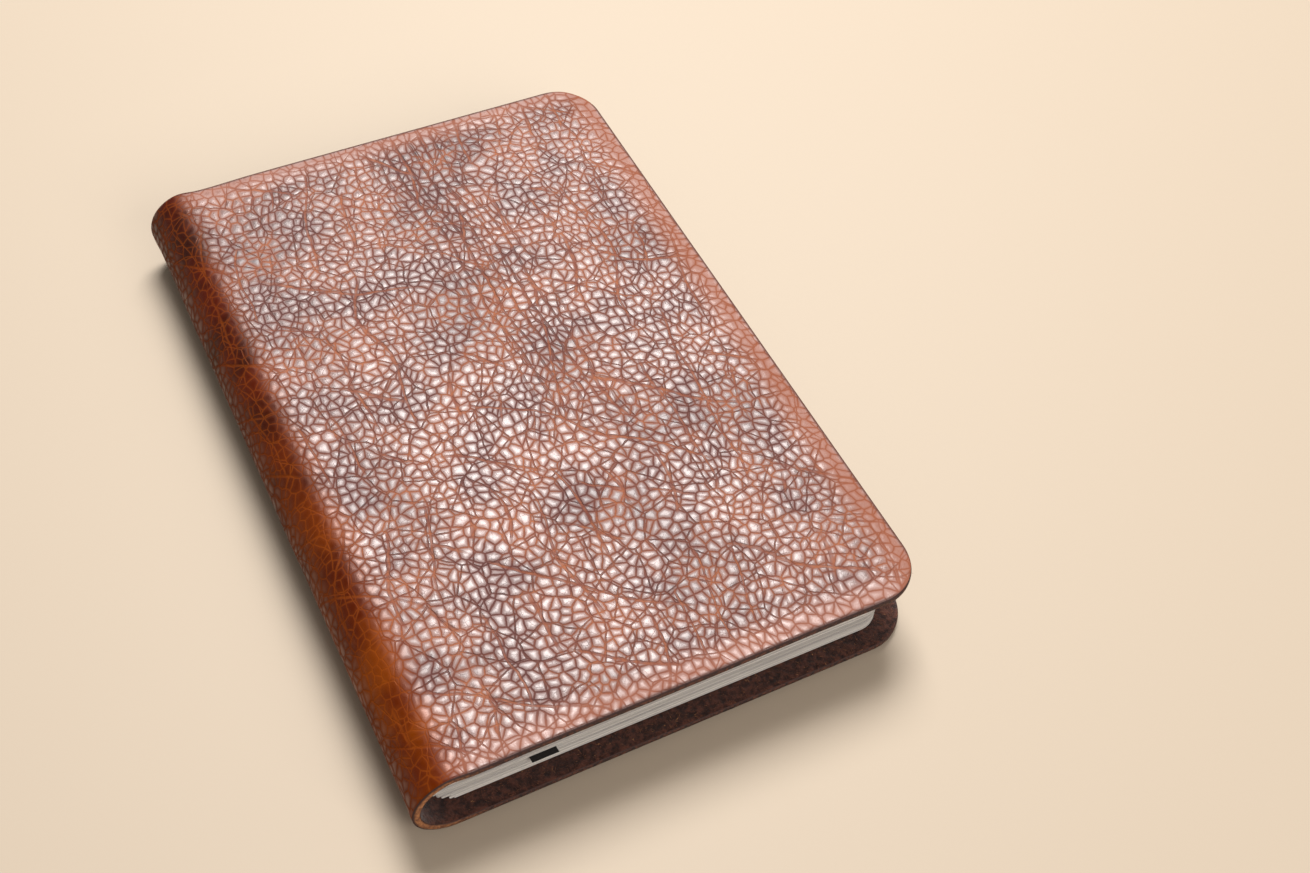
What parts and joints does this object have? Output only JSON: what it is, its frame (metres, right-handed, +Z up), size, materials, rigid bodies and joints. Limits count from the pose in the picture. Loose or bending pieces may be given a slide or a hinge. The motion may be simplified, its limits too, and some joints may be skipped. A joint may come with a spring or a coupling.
{
  "type": "leather notebook cover",
  "caption": "Soft leather cover with a rounded spine, raw edges and rounded corners, wrapped round a sewn pocket notebook with a ribbon marker.",
  "frame": {"origin": "under the middle of the closed notebook, on the surface that it lies on", "axes": "+X from the spine to the fore-edge, +Y from the tail to the head, +Z up through the front cover"},
  "size_m": [0.0992, 0.148, 0.0168],
  "materials": {
    "leather": "satin",
    "paper": "matte",
    "endpaper": "matte",
    "cloth": "matte",
    "thread": "matte",
    "ribbon": "satin"
  },
  "bodies": {
    "back_cover": {"back_panel": "leather", "rear_endpaper": "endpaper", "section_01": "paper", "section_02": "paper", "section_03": "paper", "section_04": "paper", "section_05": "paper", "section_06": "paper", "rear_lining": "cloth", "rear_thread": "thread"},
    "spine_1": {"spine_strip_1": "leather"},
    "spine_2": {"spine_strip_2": "leather"},
    "spine_3": {"spine_strip_3": "leather"},
    "front_cover": {"front_panel": "leather"},
    "front_pages": {"section_07": "paper", "section_08": "paper", "section_09": "paper", "section_10": "paper", "section_11": "paper", "section_12": "paper", "front_endpaper": "endpaper", "front_lining": "cloth", "front_thread": "thread"},
    "ribbon": {"ribbon_marker": "ribbon"}
  },
  "joints": [
    {"name": "pages_turn", "type": "hinge", "parent": "back_cover", "child": "front_pages", "pos_m": [-0.04615, 0, 0.00838], "axis": [0, -1, 0], "range_deg": [0, 180]},
    {"name": "spine_bend_1", "type": "hinge", "parent": "back_cover", "child": "spine_1", "pos_m": [-0.04122, 0, 0], "axis": [0, -1, 0], "range_deg": [0, 30]},
    {"name": "spine_bend_2", "type": "hinge", "parent": "spine_1", "child": "spine_2", "pos_m": [-0.04848, 0, 0.00419], "axis": [0, -1, 0], "range_deg": [0, 60]},
    {"name": "spine_bend_3", "type": "hinge", "parent": "spine_2", "child": "spine_3", "pos_m": [-0.04848, 0, 0.01257], "axis": [0, -1, 0], "range_deg": [0, 60]},
    {"name": "spine_bend_4", "type": "hinge", "parent": "spine_3", "child": "front_cover", "pos_m": [-0.04122, 0, 0.01676], "axis": [0, -1, 0], "range_deg": [0, 30]},
    {"name": "ribbon_swing", "type": "hinge", "parent": "back_cover", "child": "ribbon", "pos_m": [-0.0384, 0.07, 0.00521], "axis": [0, 0, 1], "range_deg": [-5, 12]}
  ],
  "couplings": [
    {"joint": "spine_bend_1", "follows": "pages_turn", "ratio": 0.16667},
    {"joint": "spine_bend_2", "follows": "pages_turn", "ratio": 0.33333},
    {"joint": "spine_bend_3", "follows": "pages_turn", "ratio": 0.33333},
    {"joint": "spine_bend_4", "follows": "pages_turn", "ratio": 0.16667}
  ]
}
